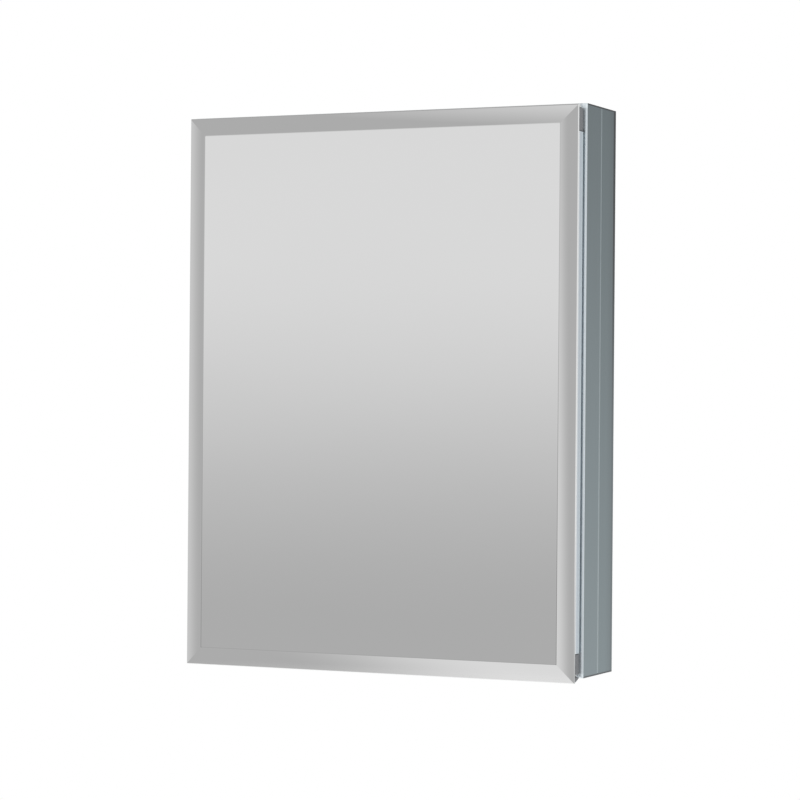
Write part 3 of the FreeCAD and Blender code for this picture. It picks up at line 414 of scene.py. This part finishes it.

# Corner blocks: moulded grey angles with tenons in the door rails. The two on the right hold the pivot
# bushes. Mid grey plastic with a fine spark-eroded grain, and a painted shadow line where a rail butts
# against it.
dark_moulding, pale_moulding = (0.142, 0.148, 0.158, 1), (0.173, 0.179, 0.188, 1)
seam_shadow_grey = (0.045, 0.047, 0.050, 1)
shadow_full, shadow_none = 0.0010, 0.0014
upright_low, upright_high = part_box("door_rail_right")
level_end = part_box("door_rail_top")[1].x
upright_middle = (upright_low.z + upright_high.z) / 2
upright_end = (upright_high.z - upright_low.z) / 2
moulding, place = new_finish("grey_moulding")
spark = grain(place, scale=2600)
streak = grain(place, scale=55)
# Painted shadow lines where the rails butt against the blocks.
level_seam_shadow = rise(abs(along(place, "X")), level_end + shadow_none, level_end + shadow_full)
upright_reach = abs(along(place, "Z") - upright_middle)
upright_seam_shadow = rise(upright_reach, upright_end + shadow_none, upright_end + shadow_full)
set_finish(moulding, {
    "Base Color": mix(level_seam_shadow + upright_seam_shadow, mix(streak, dark_moulding, pale_moulding), seam_shadow_grey),
    "Roughness": 0.45 + 0.15 * spark,
    "Normal": bump(spark, 0.3, 0.00006),
})
dress(moulding, "corner_block_top_left", "corner_block_bottom_left", "pivot_block_top", "pivot_block_bottom")

# Bushes: turned sleeves pressed into the pivot blocks, with a collar that runs against the tongue.
# The same off-white nylon as the catch cups, which slides well on steel.
dress(nylon, "pivot_bush_top", "pivot_bush_bottom")


# Door rails: aluminium channels, open to the inside, between the corner blocks. Pale bright anodising,
# paler along the front and rear edges, with draw lines along each rail.
def pale_anodised(name, stretch):
    front_grey = (0.80, 0.83, 0.85, 1)
    middle_grey = (0.51, 0.57, 0.62, 1)
    rear_grey = (0.56, 0.63, 0.67, 1)
    line_grey = (0.42, 0.47, 0.52, 1)
    material, place = new_finish(name)
    y = along(place, "Y")
    lines = grain(place, stretch, detail=3)
    clouds = grain(place, (6, 6, 6))
    tone = mix(rise(y, -0.1110, -0.1085), front_grey, middle_grey)
    tone = mix(rise(y, -0.1050, -0.1020), tone, rear_grey)
    tone = mix(0.12 * lines + 0.08 * clouds, tone, line_grey)
    set_finish(material, {
        "Base Color": tone,
        "Metallic": 0.35,
        "Roughness": 0.28 + 0.12 * lines,
        "Normal": bump(lines, 0.1, 0.0001),
    })
    return material


dress(pale_anodised("upright_pale_anodised", (900, 900, 6)), "door_rail_left", "door_rail_right")
dress(pale_anodised("level_pale_anodised", (6, 900, 900)), "door_rail_top", "door_rail_bottom")

# Inner mirror: thin silvered glass that slides in the channels of the door's rails and in the slots of the
# corner blocks. It faces the room when the door is open, and has the same silvering as the back mirror.
dress(silvering, "inner_mirror")

# Strike plates and their screws: steel strips that the magnets hold, on the rear of the door's left rail.
# The strips are cut from the same plated stock as the pivot plates, and each has two small pan heads.
dress(pale_steel, "strike_plates")
small_pan = {"radius": 0.0024, "height": 0.0008, "shank": 0.0013, "length": 0.006}
strike_x, strike_face_y = -0.246, -0.0975
bm = bmesh.new()
for up in (1, -1):
    for z in (0.210, 0.230):
        add_screw(bm, rearward, (strike_x, strike_face_y, up * z), **small_pan)
finish_piece(bm, "strike_screws", "door", "steel", "strike_plate_screws", zinc)

# Door corner screws: eight small pan heads that hold the rails on the corner blocks' tenons.
# Zinc plated steel, driven from the rear, so none shows while the door is shut.
rail_rear_y = -0.099
bm = bmesh.new()
for across in (1, -1):
    for x, z in ((0.2446, 0.2858), (0.2127, 0.3177), (0.2446, -0.2902), (0.2127, -0.3246)):
        add_screw(bm, rearward, (across * x, rail_rear_y, z), **small_pan)
finish_piece(bm, "tenon_screws", "door", "steel", "door_corner_screws", zinc)

# Mirror tape: closed-cell foam strips that bond the glass to the door rails, a millimetre thick.
# Black and matte, with the cut cells showing along the edges.
cell_black, wall_black = (0.030, 0.031, 0.033, 1), (0.065, 0.066, 0.068, 1)
foam, place = new_finish("foam_tape")
cells = place.node("ShaderNodeTexVoronoi", values={"Vector": place, "Scale": 1600.0}, output="Distance")
set_finish(foam, {
    "Base Color": mix(cells, cell_black, wall_black),
    "Roughness": 0.85,
    "Normal": bump(cells, 0.4, 0.0001),
})
dress(foam, "mirror_tape")

# Mirror glass: float glass, silvered and painted on the back, with a wide polished bevel all round that the
# wheel leaves slightly crowned. A narrow arris, wider along the top, takes off its outer edge, and a fine
# line, darkest at the sides, shows where it meets the flat. The ground edge has painted shade towards the
# bottom.
glass_low, glass_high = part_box("mirror_glass")
arris, top_arris, line_width = 0.0006, 0.0006, 0.0008
edge_thick, bevel_width, bevel_rows = 0.0022, 0.020, 8
rim_thick = edge_thick - arris
steepest, shallowest = math.radians(9.47), math.radians(6.47)
side_line = glass_high.x - arris - bevel_width - line_width
ground_green, ground_white = (0.80, 0.84, 0.84, 1), (0.88, 0.90, 0.90, 1)
shaded_ground_grey = (0.44, 0.46, 0.46, 1)
dark_paint, pale_paint = (0.16, 0.17, 0.18, 1), (0.22, 0.23, 0.24, 1)
glass_edge, place = new_finish("ground_glass_edge")
ground = grain(place, scale=900, detail=3)
unshaded_edge = mix(ground, ground_green, ground_white)
# The ground edge greys towards the bottom with painted shade.
set_finish(glass_edge, {
    "Base Color": mix(rise(along(place, "Z"), -0.10, -0.32), unshaded_edge, shaded_ground_grey),
    "Roughness": 0.22 + 0.2 * ground,
    "Coat Weight": 0.5,
})
backing_paint, place = new_finish("backing_paint")
roller = grain(place, (300, 300, 40), detail=3)
set_finish(backing_paint, {
    "Base Color": mix(roller, dark_paint, pale_paint),
    "Roughness": 0.5 + 0.2 * roller,
})
bevel_line, place = new_finish("bevel_line")
wheel = grain(place, (3, 3, 9), detail=3)
dark_line = mix(wheel, (0.58, 0.58, 0.58, 1), (0.64, 0.64, 0.64, 1))
faint_line = mix(wheel, (0.79, 0.79, 0.79, 1), (0.83, 0.83, 0.83, 1))
at_side = rise(abs(along(place, "X")), side_line - line_width, side_line)
set_finish(bevel_line, {
    "Base Color": mix(at_side, faint_line, dark_line),
    "Metallic": 1.0,
    "Roughness": 0.01 + 0.02 * wheel,
})
silver_slot, edge_slot, paint_slot, line_slot = range(4)
rim_size = Vector((glass_high.x - glass_low.x, rim_thick, glass_high.z - glass_low.z))
rim_centre = Vector((0, glass_high.y - rim_thick / 2, (glass_low.z + glass_high.z) / 2))
bm = bmesh.new()
bmesh.ops.create_cube(bm, size=1, matrix=Matrix.Translation(rim_centre) @ Matrix.Diagonal(rim_size).to_4x4())
for face in bm.faces:
    face.material_index = edge_slot if abs(face.normal.y) < 0.5 else paint_slot
top_front = [edge for edge in bm.edges if all(vert.co.z > rim_centre.z and vert.co.y < rim_centre.y
                                              for vert in edge.verts)]
stoned = bmesh.ops.bevel(bm, geom=top_front, offset=top_arris, offset_type="OFFSET", affect="EDGES",
                         segments=1, profile=0.5, material=-1)
silvered_front = min(bm.faces, key=lambda face: face.calc_center_median().y)
for face in (silvered_front, *stoned["faces"]):
    face.material_index = silver_slot
bmesh.ops.inset_region(bm, faces=[silvered_front], thickness=arris, depth=arris, use_even_offset=True)
step = bevel_width / bevel_rows
for row in range(bevel_rows):
    tilt = steepest + (shallowest - steepest) * (row + 0.5) / bevel_rows
    bmesh.ops.inset_region(bm, faces=[silvered_front], thickness=step, depth=step * math.tan(tilt),
                           use_even_offset=True)
line_ring = bmesh.ops.inset_region(bm, faces=[silvered_front], thickness=line_width, use_even_offset=True)
for face in line_ring["faces"]:
    face.material_index = line_slot
finish_piece(bm, "bevelled_mirror", "door", "mirror", "mirror_glass", silvering, glass_edge, backing_paint,
             bevel_line, sharp=3)

# Floor: a plain pale disc well below the cabinet, which hangs on a wall that isn't shown.
# Matte paint that fades out into the white surroundings and lets a view from below through.
floor_level, floor_radius, full_radius = -1.05, 2.4, 1.3
floor_grey, floor_white = (0.90, 0.90, 0.90, 1), (0.93, 0.93, 0.93, 1)
bm = bmesh.new()
bmesh.ops.create_circle(bm, cap_ends=True, segments=96, radius=floor_radius,
                        matrix=Matrix.Translation((0, 0, floor_level)))
floor_mesh = bpy.data.meshes.new("floor")
bm.to_mesh(floor_mesh)
bm.free()
floor = bpy.data.objects.new("floor", floor_mesh)
bpy.context.scene.collection.objects.link(floor)
floor_paint, place = new_finish("floor_paint")
speck = grain(place, scale=30)
from_middle = place.node("ShaderNodeVectorMath", {"operation": "LENGTH"}, {0: place}, output="Value")
underside = place.node("ShaderNodeNewGeometry", output="Backfacing")
set_finish(floor_paint, {
    "Base Color": mix(speck, floor_grey, floor_white),
    "Roughness": 0.9,
    "Alpha": rise(from_middle, floor_radius, full_radius) * (1 - underside),
})
floor_mesh.materials.append(floor_paint)

# World: white to the camera, and even light for matte surfaces. Metal and glass see a plain studio: a soft
# wall in front that darkens downwards, whose two ends, upper part and lower part the mirror's bevels show,
# and pale walls at the sides and behind. Turn and height are a line of sight's angles, in degrees.
world = bpy.data.worlds.new("studio")
bpy.context.scene.world = world
world.use_nodes = True
world.cycles.sampling_method = "NONE"
sight = Wire(world.node_tree).node("ShaderNodeTexCoord", output="Generated")
sight_x, sight_y, sight_z = (along(sight, axis) for axis in "XYZ")
degrees = 180 / math.pi
turn = degrees * sight.math("ARCTAN2", -1 * sight_x, -1 * sight_y)
height = degrees * sight.math("ARCSINE", sight_z)


def shift(mask, first, second):
    return first + mask * (second - first)


dim, bright, ceiling, plain_light, white = 0.452, 0.763, 0.42, 0.75, 1.0
front_wall = shift(rise(height, -4.77, 3.33), dim, bright)
left_end = shift(rise(turn, 42.2, 51), 0.450, 0.712)
right_end = shift(rise(turn - 0.24 * height, 3.7, 9.5), dim, 0.706)
upper_glow = 0.036 * (height - 20.97) + 0.0335 * (26.2 - turn) + 0.022
upper_part = dim + sight.math("MINIMUM", sight.math("MAXIMUM", upper_glow, 0.0), 0.25)
lower_part = shift(rise(turn, 28.75, 23.59), dim, bright)
side_wall = shift(rise(height, -7, -2.5), 0.40, 0.78)
rear_wall = shift(rise(height, 14, -12), 0.38, 1.04)
studio = shift(rise(turn, 33, 40), front_wall, left_end)
studio = shift(rise(turn, 17, 11), studio, right_end)
studio = shift(rise(turn, 2.4, -2), studio, front_wall)
studio = shift(rise(height, 9, 15), studio, upper_part)
studio = shift(rise(height, -9, -15), studio, lower_part)
studio = shift(rise(abs(height), 40, 60), studio, ceiling)
studio = shift(rise(sight_x, 0.25, 0.6), studio, side_wall)
studio = shift(rise(sight_y, 0.3, 0.75), studio, rear_wall)
camera_ray, glossy_ray, through_ray = (sight.node("ShaderNodeLightPath", output=f"Is {kind} Ray")
                                       for kind in ("Camera", "Glossy", "Transmission"))
level = shift(sight.math("MAXIMUM", glossy_ray, through_ray), plain_light, studio)
feed(world.node_tree.nodes["Background"], {"Color": shift(camera_ray, level, white)})


# Lamps: one large soft lamp from the upper left, one from the upper right and one from behind, so that
# all sides are lit at about the same level. They don't show in the mirrors.
def soft_lamp(name, spot, size, power):
    lamp = bpy.data.lights.new(name, "AREA")
    lamp.size = size
    lamp.energy = power
    holder = bpy.data.objects.new(name, lamp)
    aim = Vector(spot).to_track_quat("Z", "Y").to_matrix().to_4x4()
    holder.matrix_world = Matrix.Translation(spot) @ aim
    holder.visible_glossy = False
    bpy.context.scene.collection.objects.link(holder)


soft_lamp("left_lamp", spot=(-1.6, -2.4, 2.2), size=1.8, power=26)
soft_lamp("right_lamp", spot=(2.6, -1.2, 1.4), size=1.6, power=25)
soft_lamp("rear_lamp", spot=(0.6, 2.6, 1.8), size=1.8, power=22)

# Camera: the photograph's place, level with the middle of the cabinet and to its right, with a long lens.
# The slight roll is the photograph's.
target, distance = Vector((0.0306, -0.1152, -0.0122)), 3.2268
azimuth, elevation, roll = math.radians(24.546), math.radians(-0.077), math.radians(0.454)
away = Vector((math.sin(azimuth) * math.cos(elevation), -math.cos(azimuth) * math.cos(elevation),
               math.sin(elevation)))
sideways = Vector((0, 0, 1)).cross(away).normalized()
overhead = away.cross(sideways)
facing = Matrix((sideways, overhead, away)).transposed() @ Matrix.Rotation(roll, 3, "Z")
camera_data = bpy.data.cameras.new("camera")
camera_data.sensor_width = 36
camera_data.lens = 124.083
camera = bpy.data.objects.new("camera", camera_data)
camera.matrix_world = Matrix.Translation(target + distance * away) @ facing.to_4x4()
bpy.context.scene.collection.objects.link(camera)
bpy.context.scene.camera = camera
bpy.context.scene.view_settings.view_transform = "Standard"
